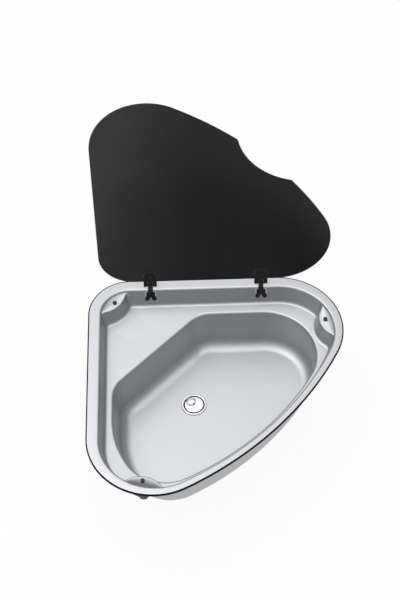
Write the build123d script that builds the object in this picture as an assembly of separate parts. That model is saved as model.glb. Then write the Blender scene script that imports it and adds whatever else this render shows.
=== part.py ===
from build123d import *
import math
import os

# Corner sink of a camper kitchen: a pressed steel bowl with a bowed front, closed by a glass lid on two
# rim hinges, and held in the worktop by three swinging clamps.
#
# Lengths are millimetres. Places in plan are measured from the back left corner of the rim, "across" to
# the right and "front" towards the user. Heights marked "above rim" are measured from the rim's top face.
# The finished part has its origin on the drain's axis at the worktop's surface, +X right, +Y back, +Z up.

# ---- Driving dimensions: rim, seal and recess ----
SHEET = 0.8
SEAL_HEIGHT = 4.0
SEAL_WIDTH = 9.0
SEAL_LIP = 2.5
SEAL_LIP_RISE = 0.4
RIM_LEG = 500.0
RIM_SQUARE_R = 81.0
RIM_TIP_R = 128.9
RIM_BOW_R = 693.6
RIM_WIDE = 20.7
RIM_NARROW = 13.5
RIM_ROLL = 5.0
RECESS_SQUARE_R = 60.0
RECESS_TIP_R = 112.0
RECESS_BOW_R = 640.0
RECESS_DRAFT = 12.0
LEDGE_DEPTH = 40.0
LEDGE_FOOT_R = 4.5

# ---- Driving dimensions: clamp bosses pressed into the recess ----
BOSS_DEPTH = 5.0
BOSS_TOP_R = 3.0
BOSS_BLEND_R = 18.0
SQUARE_BOSS_IN = 22.0
SQUARE_BOSS_R = 52.0
TIP_BOSS_PAST_RIM = 2.7
TIP_BOSS_ALONG = 101.3
TIP_BOSS_R = 48.5

# ---- Driving dimensions: bowl ----
BOWL_DEPTH = 130.0
BOWL_LEDGE_LEFT = 27.9
BOWL_LEDGE_BACK = 36.7
BOWL_LEDGE_TIP = 40.5
BOWL_CHAMFER = 170.0
BOWL_CORNER_R = 60.0
BOWL_SWEEP_R = 200.0
BOWL_SWEEP_BEHIND = 197.0
BOWL_FRONT_R = 85.0
BOWL_RIGHT_R = 104.0
BOWL_BOW_R = 585.0
BOWL_EDGE_R = 5.0
BOWL_FLOOR_R = 20.0
BOWL_WALL_RUN = 12.6
BOWL_RIGHT_RUN = 6.0
BOWL_FRONT_RUN = 4.0

# ---- Driving dimensions: drain and plug ----
DRAIN_ACROSS = 203.5
DRAIN_FRONT = 215.0
DRAIN_HOLE_R = 22.4
FLANGE_R = 25.0
FLANGE_THICK = 1.2
FLANGE_SEAL = 0.8
CUP_R = 21.9
CUP_WALL = 1.0
CUP_DEPTH = 27.0
CUP_SEAT_DEPTH = 5.0
CUP_SEAT_R = 16.5
WASHER_R = 28.0
WASHER_THICK = 3.0
LOCK_NUT_R = 30.0
LOCK_NUT_THICK = 6.0
WASTE_WALL = 2.5
WASTE_CAP_DEPTH = 16.0
WASTE_CONE = 12.0
SPIGOT_R = 12.5
SPIGOT_BORE_R = 10.5
SPIGOT_LENGTH = 25.0
PLUG_R = 19.6
PLUG_THICK = 1.2
PLUG_DOME = 1.6
PLUG_EDGE = 0.4
PLUG_SEAL_R = 20.6
PLUG_SEAL_THICK = 2.6
RING_R = 7.0
RING_WIRE_R = 0.9
RING_TURN = 135.0
EYE_WIRE_R = 0.7
EYE_PLAY = 0.35

# ---- Driving dimensions: glass lid ----
GLASS = 5.0
GLASS_ABOVE_RIM = 1.0
GLASS_BACK = 24.64
GLASS_TIP_GAP = 8.46
GLASS_SQUARE_R = 68.2
GLASS_TIP_R = 107.7
GLASS_BOW_R = 698.0
GLASS_EDGE = 0.6
NOTCH_ACROSS = 429.1
NOTCH_FRONT = 409.8
NOTCH_R = 131.0
NOTCH_CORNER_R = 7.0

# ---- Driving dimensions: hinges ----
HINGE_PLACES = (123.1, 343.0)
PIVOT_FRONT = 13.5
PIVOT_HEIGHT = 8.1
LID_OPEN = 96.4
KNUCKLE_R = 7.4
HINGE_WIDTH = 26.0
EYE_WIDTH = 10.0
PIN_R = 2.0
PIN_PLAY = 0.05
STRAP = 1.5
BRACKET_PLATE = 2.0
BRACKET_WIDTH = 17.6
BRACKET_DROP = 16.0
BRACKET_PAD_R = 4.4
WALL_PLATE = 1.0
WALL_PLATE_WIDTH = 22.4
BRACKET_SCREW_DROP = 21.0
BRACKET_SCREW_PITCH = 14.3
BRACKET_SCREW_R = 2.0
BRACKET_SCREW_HEAD_R = 3.85
BRACKET_SCREW_HEAD = 2.0
BRACKET_NUT_ACROSS_FLATS = 7.0
BRACKET_NUT = 3.2
LEAF_PLATE = 2.5
LEAF_REACH = 27.5
LID_GASKET = 0.5
LID_SCREW_IN = 13.5
LID_SCREW_R = 2.0
LID_SCREW_HEAD_R = 2.9
LID_SCREW_HEAD = 1.2
GLASS_HOLE_R = 4.6

# ---- Driving dimensions: worktop clamps ----
SQUARE_CLAMP_IN = 52.2
TIP_CLAMP_INSIDE_RIM = 33.9
TIP_CLAMP_ALONG = 107.2
CLAMP_STOWED = (151.3, 259.7, 45.0)
CLAMP_SCREW_R = 2.5
CLAMP_SCREW_LENGTH = 55.0
CLAMP_HEAD_R = 3.2
CLAMP_HEAD = 2.6
CAP_R = 4.0
CAP_ABOVE_RIM = 0.7
CAP_EDGE = 1.2
CLAMP_TOP_DROP = 41.1
CLAMP_ARM_HEIGHT = 12.0
CLAMP_HUB_R = 10.0
CLAMP_OUTER_SIDE = 8.0
CLAMP_INNER_SIDES = ((10.0, 9.0), (16.0, 4.0), (20.0, 2.0), (24.0, -1.5))
BUSH_R = 4.5
BUSH_FLANGE_R = 7.0
BUSH_FLANGE = 1.5

# ---- Driving dimensions: clearances ----
SEATED = 0.05
MOVING = 0.3

# ---- Heights and places that follow ----
RIM_TOP = SEAL_HEIGHT + SHEET
FLOOR = RIM_TOP - BOWL_DEPTH
RECESS_SLOPE = math.tan(math.radians(RECESS_DRAFT))
ROLL_RUN = RIM_ROLL * math.tan(math.radians(45 - RECESS_DRAFT / 2))
MOUTH = RIM_WIDE + ROLL_RUN
PIVOT = (DRAIN_FRONT - PIVOT_FRONT, RIM_TOP + PIVOT_HEIGHT)
SPACE = 2 * RIM_LEG
PLUG_TOP = FLOOR + FLANGE_SEAL + FLANGE_THICK

os.makedirs("parts", exist_ok=True)
nodes = {}


# ---- Outlines in plan ----
def spot(across, front):
    """The plan place that lies so far from the rim's left and back edges."""
    return across - DRAIN_ACROSS, DRAIN_FRONT - front


def disc(across, front, radius):
    """A circle of the plan: its centre and its radius, which is negative where the outline bends inwards."""
    return (*spot(across, front), radius)


def grown(circles, amount):
    """The same outline, further out by the amount."""
    return [(x, y, radius + amount) for x, y, radius in circles]


def touching(one, other, radius, side):
    """The circle of the given radius that an outline passes on to smoothly from both circles.

    Its centre lies to the left of the line from one to the other for side 1, and to the right for side -1.
    """
    dx, dy = other[0] - one[0], other[1] - one[1]
    apart = math.hypot(dx, dy)
    from_one, from_other = abs(one[2] - radius), abs(other[2] - radius)
    along = (from_one**2 - from_other**2 + apart**2) / (2 * apart)
    off = side * math.sqrt(from_one**2 - along**2)
    return (one[0] + (dx * along - dy * off) / apart, one[1] + (dy * along + dx * off) / apart, radius)


def outline(circles, height):
    """The closed line round the circles, taken anticlockwise: arcs, with tangent lines where they part."""
    normals = []
    for (x1, y1, r1), (x2, y2, r2) in zip(circles, circles[1:] + circles[:1]):
        dx, dy, step = x2 - x1, y2 - y1, r1 - r2
        across = math.sqrt(max(dx * dx + dy * dy - step * step, 0))
        if across < abs(step) / 1000:
            across = 0
        normals.append(math.atan2(step * dy - across * dx, step * dx + across * dy))
    edges, first, last = [], None, None
    for (x, y, radius), start, end in zip(circles, normals[-1:] + normals[:-1], normals):
        turn = (end - start) % (2 * math.pi)
        if radius < 0:
            turn -= 2 * math.pi
        angles = (start, start + turn / 2, start + turn)
        points = [Vector(x + radius * math.cos(a), y + radius * math.sin(a), height) for a in angles]
        if first is None:
            first = points[0]
        elif (points[0] - last).length > 1e-5:
            edges.append(Edge.make_line(last, points[0]))
        else:
            points[0] = last
        edges.append(Edge.make_three_point_arc(*points))
        last = points[2]
    if (first - last).length > 1e-5:
        edges.append(Edge.make_line(last, first))
    return Wire(edges)


def prism(circles, bottom, top):
    """The outline's upright block between two heights."""
    return extrude(Face(outline(circles, bottom)), amount=top - bottom, dir=(0, 0, 1))


def corner_plan(low, high, square, tip, bow):
    """Circles of a corner shape with legs from low to high: square corner, front tip, bow and right tip."""
    front, right = disc(low + tip, high - tip, tip), disc(high - tip, low + tip, tip)
    return [disc(low + square, low + square, square), front, touching(front, right, bow, 1), right]


def ring(outer, inner, bottom, top):
    """A round tube or washer on the drain's axis, or wherever it is moved to."""
    bore = Cylinder(inner, top - bottom)
    return Pos(0, 0, (bottom + top) / 2) * (Cylinder(outer, top - bottom) - bore)


def rod(radius, bottom, top):
    """A round upright bar between two heights."""
    return Pos(0, 0, (bottom + top) / 2) * Cylinder(radius, top - bottom)


RIM = corner_plan(0, RIM_LEG, RIM_SQUARE_R, RIM_TIP_R, RIM_BOW_R)
METAL = grown(RIM, -SEAL_LIP)
RECESS = corner_plan(RIM_WIDE, RIM_LEG - RIM_NARROW, RECESS_SQUARE_R, RECESS_TIP_R, RECESS_BOW_R)
TIP_BOSS_OUT = RIM_LEG + TIP_BOSS_PAST_RIM
GLASS_LEG_END = RIM_LEG - RIM_NARROW - GLASS_TIP_GAP
TIP_CLAMP_OUT = RIM_LEG - TIP_CLAMP_INSIDE_RIM
CLAMP_PLACES = (
    spot(TIP_CLAMP_ALONG, TIP_CLAMP_OUT),
    spot(TIP_CLAMP_OUT, TIP_CLAMP_ALONG),
    spot(SQUARE_CLAMP_IN, SQUARE_CLAMP_IN),
)
CLAMP_NAMES = ("front", "right", "back")
HINGE_NAMES = ("left", "right")


# ---- Sink pressing ----
def bossed(line):
    """The recess line at the boss tops: three bosses stand into it, each blended into the wall."""
    square, front, bow, right = line
    corner_boss = disc(SQUARE_BOSS_IN, SQUARE_BOSS_IN, -SQUARE_BOSS_R)
    front_boss = disc(TIP_BOSS_ALONG, TIP_BOSS_OUT, -TIP_BOSS_R)
    right_boss = disc(TIP_BOSS_OUT, TIP_BOSS_ALONG, -TIP_BOSS_R)
    left_x = square[0] - square[2] + BOSS_BLEND_R
    back_y = square[1] + square[2] - BOSS_BLEND_R
    reach = SQUARE_BOSS_R + BOSS_BLEND_R
    left_blend = (left_x, corner_boss[1] - math.sqrt(reach**2 - (left_x - corner_boss[0]) ** 2), BOSS_BLEND_R)
    back_blend = (corner_boss[0] + math.sqrt(reach**2 - (back_y - corner_boss[1]) ** 2), back_y, BOSS_BLEND_R)
    front_blends = [touching(front, front_boss, BOSS_BLEND_R, side) for side in (-1, 1)]
    right_blends = [touching(right, right_boss, BOSS_BLEND_R, side) for side in (-1, 1)]
    around_front = [front, front_blends[0], front_boss, front_blends[1], front]
    around_right = [right, right_blends[0], right_boss, right_blends[1], right]
    return [left_blend, *around_front, bow, *around_right, back_blend, corner_boss]


def bowl_plan(wall_run, right_run, front_run):
    """Circles of the bowl's line, which has run in from its edge by so much along each side."""
    left, back = RIM_WIDE + BOWL_LEDGE_LEFT + wall_run, RIM_WIDE + BOWL_LEDGE_BACK + wall_run
    far = RIM_LEG - RIM_NARROW - BOWL_LEDGE_TIP
    corner, sweep, front_r = BOWL_CORNER_R - wall_run, BOWL_SWEEP_R - wall_run, BOWL_FRONT_R - front_run
    right_r = BOWL_RIGHT_R - (wall_run + right_run) / 2
    past_chamfer = BOWL_CHAMFER + BOWL_CORNER_R * math.tan(math.radians(22.5))
    left_corner = disc(left + corner, back - wall_run + past_chamfer, corner)
    back_corner = disc(left - wall_run + past_chamfer, back + corner, corner)
    front_out = far - front_run - front_r
    sweep_front = RIM_LEG - BOWL_SWEEP_BEHIND
    run_across = math.sqrt((sweep - front_r) ** 2 - (front_out - sweep_front) ** 2)
    front = disc(left + sweep - run_across, front_out, front_r)
    right = disc(far - right_run - right_r, back + right_r, right_r)
    sweep_disc = disc(left + sweep, sweep_front, sweep)
    return [left_corner, sweep_disc, front, touching(front, right, BOWL_BOW_R, 1), right, back_corner]


def level_edges(shape, height):
    """The edges that lie flat at a height, apart from those of the wide slabs."""
    box = [(edge, edge.bounding_box()) for edge in shape.edges()]
    return [e for e, b in box if abs(b.min.Z - height) < 0.01 and abs(b.max.Z - height) < 0.01 and e.length < SPACE / 2]


def slab(height):
    """Everything above a height."""
    return Pos(0, 0, height + BOWL_DEPTH / 2) * Box(SPACE, SPACE, BOWL_DEPTH)


def space_inside(skin):
    """The space above the sheet's top face, or with the sheet's thickness as skin, above its lower face."""
    mouth = grown(RECESS, -ROLL_RUN)
    step = RIM_TOP - BOSS_DEPTH - skin
    mouth_face = Face(outline(grown(mouth, skin), RIM_TOP))
    walls = extrude(mouth_face, amount=1.5 * LEDGE_DEPTH, dir=(0, 0, -1), taper=RECESS_DRAFT)
    low_line = bossed(grown(mouth, -BOSS_DEPTH * RECESS_SLOPE))
    low_face = Face(outline(grown(low_line, skin - skin * RECESS_SLOPE), step))
    low = extrude(low_face, amount=LEDGE_DEPTH - BOSS_DEPTH, dir=(0, 0, -1), taper=RECESS_DRAFT)
    ledge = RIM_TOP - LEDGE_DEPTH - skin
    low = fillet(level_edges(low, ledge), LEDGE_FOOT_R + skin)
    stepped = low + slab(step)
    stepped = fillet(level_edges(stepped, step), BOSS_TOP_R - skin) & walls
    recess = stepped + slab(RIM_TOP - skin)
    recess = fillet(level_edges(recess, RIM_TOP - skin), RIM_ROLL - skin)
    edge_line = outline(grown(bowl_plan(0, 0, 0), skin), ledge)
    floor_line = grown(bowl_plan(BOWL_WALL_RUN, BOWL_RIGHT_RUN, BOWL_FRONT_RUN), skin)
    bowl = Solid.make_loft([outline(floor_line, FLOOR - skin), edge_line], ruled=True)
    bowl = fillet(level_edges(bowl, FLOOR - skin), BOWL_FLOOR_R + skin)
    whole = recess + bowl
    ledge_face = [f for f in whole.faces().filter_by(GeomType.PLANE) if abs(f.center().Z - ledge) < 0.01][0]
    return fillet(ledge_face.inner_wires()[0].edges(), BOWL_EDGE_R - skin)


def wall_frame(across):
    """A plane on the recess's back wall, x across, y up the wall and z into the recess."""
    tilt = math.radians(RECESS_DRAFT)
    mouth = (across - DRAIN_ACROSS, DRAIN_FRONT - MOUTH, RIM_TOP)
    return Plane(origin=mouth, x_dir=(1, 0, 0), z_dir=(0, -math.cos(tilt), math.sin(tilt)))


BRACKET_SCREW_SPOTS = [(side * BRACKET_SCREW_PITCH / 2, -BRACKET_SCREW_DROP) for side in (-1, 1)]


def sink_pressing():
    sheet = (space_inside(SHEET) & prism(METAL, FLOOR - 2 * SHEET, RIM_TOP)) - space_inside(0)
    sheet -= rod(DRAIN_HOLE_R, FLOOR - 2 * SHEET, FLOOR + SHEET)
    for x, y in CLAMP_PLACES:
        sheet -= Pos(x, y, RIM_TOP - BOSS_DEPTH) * Cylinder(CLAMP_SCREW_R + MOVING, 4 * SHEET)
    for across in HINGE_PLACES:
        for x, y in BRACKET_SCREW_SPOTS:
            sheet -= wall_frame(across) * Pos(x, y, 0) * Cylinder(BRACKET_SCREW_R + MOVING, 4 * SHEET)
    return sheet


nodes["sink_pressing"] = sink_pressing()


# ---- Rim seal ----
def rim_seal():
    """A rubber band under the rim, with a lip that stands round the sheet's edge."""
    lip_top = SEAL_HEIGHT + SEAL_LIP_RISE
    band = prism(RIM, 0, lip_top) - prism(grown(RIM, -SEAL_WIDTH), 0, lip_top)
    return band - prism(grown(METAL, SEATED), SEAL_HEIGHT, lip_top)


nodes["rim_seal"] = rim_seal()


# ---- Glass lid, modelled closed and then swung open ----
def swung_open(piece):
    """The piece as it stands at rest, turned back about the hinge axis from its closed place."""
    return Pos(0, *PIVOT) * Rot(-LID_OPEN, 0, 0) * Pos(0, -PIVOT[0], -PIVOT[1]) * piece


def lid_plan():
    """The glass's circles, with the round notch cut out of the bow and its two corners eased."""
    square, front, bow, right = corner_plan(GLASS_BACK, GLASS_LEG_END, GLASS_SQUARE_R, GLASS_TIP_R, GLASS_BOW_R)
    notch = disc(NOTCH_ACROSS, NOTCH_FRONT, -NOTCH_R)
    corners = [touching(bow, notch, NOTCH_CORNER_R, side) for side in (-1, 1)]
    return [square, front, bow, corners[0], notch, corners[1], bow, right]


GLASS_BOTTOM = RIM_TOP + GLASS_ABOVE_RIM
LID_SCREW_SPOTS = [spot(across, GLASS_BACK + LID_SCREW_IN) for across in HINGE_PLACES]


def glass_lid():
    glass = prism(lid_plan(), GLASS_BOTTOM, GLASS_BOTTOM + GLASS)
    rims = level_edges(glass, GLASS_BOTTOM) + level_edges(glass, GLASS_BOTTOM + GLASS)
    glass = chamfer(rims, GLASS_EDGE)
    for x, y in LID_SCREW_SPOTS:
        glass -= Pos(x, y, 0) * rod(GLASS_HOLE_R, GLASS_BOTTOM - GLASS, GLASS_BOTTOM + 2 * GLASS)
    return glass


nodes["glass_lid"] = swung_open(glass_lid())


# ---- Hinges ----
def side_view(across):
    """A plane across the hinge at one place: x towards the front from the rim's back edge, y above the rim."""
    return Plane(origin=(across - DRAIN_ACROSS, DRAIN_FRONT, RIM_TOP), x_dir=(0, -1, 0), z_dir=(-1, 0, 0))


def slice_of(sketch, centre, width):
    """A slice of the hinge's side view, centred across at one place."""
    return extrude(side_view(centre) * sketch, amount=width / 2, both=True)


KNUCKLE_WIDTH = (HINGE_WIDTH - EYE_WIDTH) / 2 - MOVING
KNUCKLE_OFF = (HINGE_WIDTH - KNUCKLE_WIDTH) / 2
STRAP_IN = RIM_ROLL + MOVING
STRAP_OUT = STRAP_IN + STRAP
PLATE_OFF = WALL_PLATE + 2 * SEATED
LEAF_IN = GLASS_ABOVE_RIM + GLASS + LID_GASKET
KNUCKLE = Pos(PIVOT_FRONT, PIVOT_HEIGHT) * Circle(KNUCKLE_R)
BORE = Pos(PIVOT_FRONT, PIVOT_HEIGHT) * Circle(PIN_R + PIN_PLAY)


def pads(radius):
    """The pair of round pads under the bracket's screws, each joined up to the plate above it."""
    legs = Sketch()
    for x, y in BRACKET_SCREW_SPOTS:
        root = Pos(math.copysign(BRACKET_WIDTH / 2 - radius, x), -BRACKET_DROP + radius / 2) * Circle(radius)
        legs += make_hull((root + Pos(x, y) * Circle(radius)).edges())
    return legs


def bracket(across):
    """The black bracket: an eye over the rim, a strap round the rim's roll and a plate on two screwed legs."""
    roll = Pos(RIM_WIDE, -RIM_ROLL)
    strap = roll * (Circle(STRAP_OUT) - Circle(STRAP_IN))
    keep = Polygon((0, 0), (0, 9), (9, 9), (9, 9 * RECESS_SLOPE), align=None)
    strap &= roll * keep
    neck = Polygon(
        (PIVOT_FRONT, MOVING),
        (RIM_WIDE, MOVING),
        (RIM_WIDE, MOVING + STRAP),
        (PIVOT_FRONT + KNUCKLE_R * 0.87, PIVOT_HEIGHT - KNUCKLE_R / 2),
        (PIVOT_FRONT, PIVOT_HEIGHT),
        align=None,
    )
    eye = slice_of(KNUCKLE + neck + strap - BORE, across, EYE_WIDTH)
    frame = wall_frame(across)
    top = -RIM_ROLL * math.cos(math.radians(RECESS_DRAFT)) + RIM_ROLL * RECESS_SLOPE
    tongue = Pos(0, top - 1.5) * Rectangle(EYE_WIDTH, 3.4)
    plate = Pos(0, (top - BRACKET_DROP) / 2) * Rectangle(BRACKET_WIDTH, top + BRACKET_DROP) + pads(BRACKET_PAD_R)
    for x, y in BRACKET_SCREW_SPOTS:
        plate -= Pos(x, y) * Circle(BRACKET_SCREW_R + SEATED)
    body = extrude(frame * Pos(0, 0, PLATE_OFF) * plate, amount=BRACKET_PLATE)
    return eye + body + extrude(frame * Pos(0, 0, MOVING) * tongue, amount=STRAP)


def wall_plate(across):
    """The bright plate behind the bracket, notched at its top for the strap."""
    top = -RIM_ROLL * math.cos(math.radians(RECESS_DRAFT)) + RIM_ROLL * RECESS_SLOPE
    plate = Pos(0, (top - BRACKET_DROP - 1) / 2) * Rectangle(WALL_PLATE_WIDTH, top + BRACKET_DROP + 1)
    plate += pads(BRACKET_PAD_R - MOVING)
    plate -= Pos(0, top - 1.5) * Rectangle(EYE_WIDTH + 2 * MOVING, 4)
    for x, y in BRACKET_SCREW_SPOTS:
        plate -= Pos(x, y) * Circle(BRACKET_SCREW_R + SEATED)
    return extrude(wall_frame(across) * Pos(0, 0, SEATED) * plate, amount=WALL_PLATE)


def d_plate(centre_x, bottom, thick, start, inset):
    """A D-shaped plate on the glass, its round end towards the lid's middle."""
    radius = HINGE_WIDTH / 2 - inset
    round_at = GLASS_BACK + LEAF_REACH - HINGE_WIDTH / 2
    x, y = spot(centre_x, round_at)
    plate = Pos(x, y) * Circle(radius)
    plate += Pos(x, y + (round_at - start) / 2) * Rectangle(2 * radius, round_at - start)
    return extrude(Pos(0, 0, RIM_TOP + bottom) * plate, amount=thick)


def lid_leaf(across):
    """The leaf on the glass's outer side: two knuckles, a block behind the glass edge and a D-shaped plate."""
    x, y = spot(across, GLASS_BACK + LID_SCREW_IN)
    back = GLASS_BACK - MOVING
    side = KNUCKLE + Pos(back - 1, (LEAF_IN + LEAF_PLATE + 1.2) / 2) * Rectangle(2, LEAF_IN + LEAF_PLATE - 1.2)
    side = make_hull(side.edges()) - BORE
    web = Polygon(
        (back - 2, GLASS_ABOVE_RIM + 1.2),
        (back, GLASS_ABOVE_RIM + 1.2),
        (back, LEAF_IN),
        (back, LEAF_IN + LEAF_PLATE),
        (back - 2, LEAF_IN + LEAF_PLATE),
        align=None,
    )
    leaf = slice_of(side, across - KNUCKLE_OFF, KNUCKLE_WIDTH) + slice_of(side, across + KNUCKLE_OFF, KNUCKLE_WIDTH)
    leaf += slice_of(web, across, HINGE_WIDTH)
    leaf += d_plate(across, LEAF_IN, LEAF_PLATE, back - 1, 0)
    return leaf - Pos(x, y, 0) * rod(LID_SCREW_R + SEATED, 0, 2 * RIM_TOP + LEAF_IN)


CLAMP_PLATE_TOP = GLASS_ABOVE_RIM - LID_GASKET


def clamp_plate(across):
    """The D-shaped plate on the glass's inner side, slotted to clear the bracket when the lid is shut."""
    x, y = spot(across, GLASS_BACK + LID_SCREW_IN)
    plate = d_plate(across, CLAMP_PLATE_TOP - LEAF_PLATE, LEAF_PLATE, GLASS_BACK + 1, 0)
    rounded = plate.edges().filter_by(GeomType.CIRCLE).sort_by(Axis.Z)[:1]
    plate = chamfer(rounded, LEAF_PLATE / 3)
    slot_x, slot_y = spot(across, GLASS_BACK + 1)
    plate -= Pos(slot_x, slot_y, RIM_TOP) * Box(EYE_WIDTH + 3 * MOVING, 5.6, 4 * LEAF_PLATE)
    return plate - Pos(x, y, 0) * rod(LID_SCREW_R + SEATED, 0, 2 * RIM_TOP)


def glass_gaskets(across):
    """Rubber on both sides of the glass, and the sleeve that keeps the screw off the hole's edge."""
    x, y = spot(across, GLASS_BACK + LID_SCREW_IN)
    hole = Pos(x, y, 0) * rod(GLASS_HOLE_R, 0, 2 * RIM_TOP + LEAF_IN)
    above = d_plate(across, GLASS_ABOVE_RIM + GLASS, LID_GASKET, GLASS_BACK + 2, 0.6) - hole
    below = d_plate(across, CLAMP_PLATE_TOP, LID_GASKET, GLASS_BACK + 4, 0.6) - hole
    sleeve = ring(GLASS_HOLE_R - SEATED, LID_SCREW_R + SEATED, GLASS_BOTTOM, GLASS_BOTTOM + GLASS)
    return Compound([above.solid(), below.solid(), (Pos(x, y, 0) * sleeve).solid()])


def lid_screw(across):
    """A screw with a low cross head on the inner side, its shank held in the leaf."""
    x, y = spot(across, GLASS_BACK + LID_SCREW_IN)
    under = RIM_TOP + CLAMP_PLATE_TOP - LEAF_PLATE
    head = rod(LID_SCREW_HEAD_R, under - LID_SCREW_HEAD, under)
    head = chamfer(head.edges().sort_by(Axis.Z)[:1], LID_SCREW_HEAD / 2)
    socket = Pos(0, 0, under - LID_SCREW_HEAD) * Box(2 * LID_SCREW_HEAD_R * 0.6, 0.7, LID_SCREW_HEAD)
    socket += Pos(0, 0, under - LID_SCREW_HEAD) * Box(0.7, 2 * LID_SCREW_HEAD_R * 0.6, LID_SCREW_HEAD)
    return Pos(x, y, 0) * (head - socket + rod(LID_SCREW_R, under, RIM_TOP + LEAF_IN + LEAF_PLATE))


def hinge_pin(across):
    """The pin through the bracket's eye and the leaf's two knuckles."""
    pin = Cylinder(PIN_R, HINGE_WIDTH)
    pin = chamfer(pin.edges().filter_by(GeomType.CIRCLE), PIN_R / 5)
    x, _ = spot(across, 0)
    return Pos(x, *PIVOT) * Rot(0, 90, 0) * pin


for name, across in zip(HINGE_NAMES, HINGE_PLACES):
    nodes[f"hinge_bracket_{name}"] = bracket(across)
    nodes[f"wall_plate_{name}"] = wall_plate(across)
    nodes[f"hinge_pin_{name}"] = hinge_pin(across)
    nodes[f"lid_leaf_{name}"] = swung_open(lid_leaf(across))
    nodes[f"clamp_plate_{name}"] = swung_open(clamp_plate(across))
    nodes[f"glass_gaskets_{name}"] = swung_open(glass_gaskets(across))
    nodes[f"lid_screw_{name}"] = swung_open(lid_screw(across))


def bracket_screw():
    """A pan-head screw, its head on the bracket's pad at z 0 and its shank through the wall."""
    head = rod(BRACKET_SCREW_HEAD_R, 0, BRACKET_SCREW_HEAD)
    head = chamfer(head.edges().sort_by(Axis.Z)[-1:], BRACKET_SCREW_HEAD / 2)
    slot = Pos(0, 0, BRACKET_SCREW_HEAD) * Box(BRACKET_SCREW_HEAD_R, 0.9, BRACKET_SCREW_HEAD)
    slot += Pos(0, 0, BRACKET_SCREW_HEAD) * Box(0.9, BRACKET_SCREW_HEAD_R, BRACKET_SCREW_HEAD)
    shank = PLATE_OFF + BRACKET_PLATE + SHEET + BRACKET_NUT + 1
    return head - slot + rod(BRACKET_SCREW_R, -shank, 0)


def bracket_nut():
    """A hexagon nut behind the wall, its near face at z 0."""
    hexagon = RegularPolygon(BRACKET_NUT_ACROSS_FLATS / math.sqrt(3), 6) - Circle(BRACKET_SCREW_R + SEATED)
    return extrude(hexagon, amount=-BRACKET_NUT)


spots = [wall_frame(across) * Pos(x, y, 0) for across in HINGE_PLACES for x, y in BRACKET_SCREW_SPOTS]
head_seat = Pos(0, 0, PLATE_OFF + BRACKET_PLATE)
nut_seat = Pos(0, 0, -SHEET - SEATED)
nodes["bracket_screws"] = Compound([(place * head_seat * bracket_screw()).solid() for place in spots])
nodes["bracket_nuts"] = Compound([(place * nut_seat * bracket_nut()).solid() for place in spots])


# ---- Worktop clamps ----
BOSS_TOP = RIM_TOP - BOSS_DEPTH
ARM_TOP = RIM_TOP - CLAMP_TOP_DROP
ARM_BOTTOM = ARM_TOP - CLAMP_ARM_HEIGHT
BUSH_SEAT = ARM_BOTTOM - SEATED


def clamp_screw():
    """The long screw that hangs through the boss, its head on the boss and a cross recess in it."""
    head = rod(CLAMP_HEAD_R, BOSS_TOP, BOSS_TOP + CLAMP_HEAD)
    cross = Pos(0, 0, BOSS_TOP + CLAMP_HEAD) * (Box(4, 0.9, CLAMP_HEAD) + Box(0.9, 4, CLAMP_HEAD))
    tip = BOSS_TOP - CLAMP_SCREW_LENGTH
    shank = chamfer(rod(CLAMP_SCREW_R, tip, BOSS_TOP).edges().sort_by(Axis.Z)[:1], CLAMP_SCREW_R / 4)
    return head - cross + shank


def clamp_cap():
    """The black cap over the screw's head, on which the closed lid comes to lie."""
    top = RIM_TOP + CAP_ABOVE_RIM
    cap = rod(CAP_R, BOSS_TOP + SEATED, top)
    cap = chamfer(cap.edges().sort_by(Axis.Z)[-1:], CAP_EDGE)
    return cap - rod(CLAMP_HEAD_R + SEATED, BOSS_TOP, BOSS_TOP + CLAMP_HEAD + SEATED)


def clamp_bush():
    """The threaded bush that climbs the screw and carries the arm on its flange."""
    bush = rod(BUSH_R, BUSH_SEAT, ARM_TOP + MOVING) + rod(BUSH_FLANGE_R, BUSH_SEAT - BUSH_FLANGE, BUSH_SEAT)
    bottom = BUSH_SEAT - BUSH_FLANGE
    return bush - rod(CLAMP_SCREW_R + PIN_PLAY, bottom - 1, RIM_TOP)


def clamp_arm():
    """The die-cast arm: a hub round the bush and a jaw whose inner side is cut back to pass the boss."""
    inner = [(reach, -width) for reach, width in CLAMP_INNER_SIDES]
    back = [(-math.sqrt(CLAMP_HUB_R**2 - side**2), side) for side in (CLAMP_OUTER_SIDE, inner[0][1])]
    jaw = Polygon(back[0], back[1], *inner, (inner[-1][0], CLAMP_OUTER_SIDE), align=None)
    arm = extrude(Pos(0, 0, ARM_BOTTOM) * (jaw + Circle(CLAMP_HUB_R)), amount=CLAMP_ARM_HEIGHT)
    return arm - rod(BUSH_R + PIN_PLAY, ARM_BOTTOM - 1, ARM_TOP + 1)


for name, (x, y), stowed in zip(CLAMP_NAMES, CLAMP_PLACES, CLAMP_STOWED):
    nodes[f"clamp_screw_{name}"] = Pos(x, y, 0) * clamp_screw()
    nodes[f"clamp_cap_{name}"] = Pos(x, y, 0) * clamp_cap()
    nodes[f"clamp_bush_{name}"] = Pos(x, y, 0) * clamp_bush()
    nodes[f"clamp_arm_{name}"] = Pos(x, y, 0) * Rot(0, 0, stowed) * clamp_arm()


# ---- Waste and plug ----
CUP_BOTTOM = FLOOR - CUP_DEPTH
SEAT_Z = FLOOR - CUP_SEAT_DEPTH
PLUG_CROWN = PLUG_TOP + PLUG_DOME - PLUG_THICK / 2
PLUG_UNDER = PLUG_CROWN - PLUG_DOME - PLUG_THICK
RING_HEIGHT = PLUG_CROWN + RING_WIRE_R + MOVING


def turned(*points):
    """A body turned about the drain's axis from its half section, given as radius and height."""
    return revolve(Plane.XZ * Polygon(*points, align=None), Axis.Z)


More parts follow.
